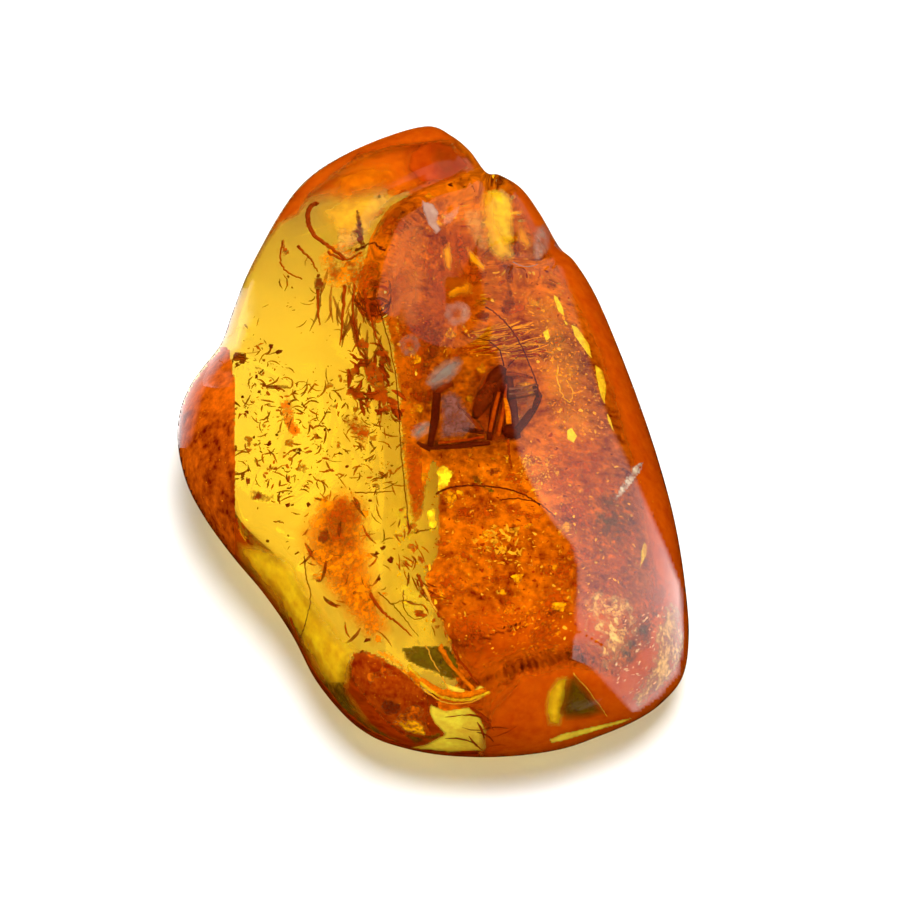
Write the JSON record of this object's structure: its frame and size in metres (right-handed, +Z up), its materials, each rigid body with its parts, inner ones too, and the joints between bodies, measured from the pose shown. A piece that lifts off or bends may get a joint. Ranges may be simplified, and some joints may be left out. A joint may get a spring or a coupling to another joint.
{
  "type": "insect in amber",
  "caption": "Polished pebble of clear amber with a long-legged insect sealed in it, resting on a flat base.",
  "frame": {"origin": "middle of the flat base, on the surface the stone lies on", "axes": "+X across the polished face to its right, +Y along the stone towards its narrow end at the back, +Z up"},
  "size_m": [0.0307, 0.0424, 0.014],
  "materials": {
    "amber": "polished clear fossil resin, yellow where thin and orange where thick",
    "insect": "dark brown carbonised cuticle"
  },
  "bodies": {
    "root": {"amber_lower": "amber", "amber_upper": "amber", "insect": "insect"}
  },
  "joints": []
}
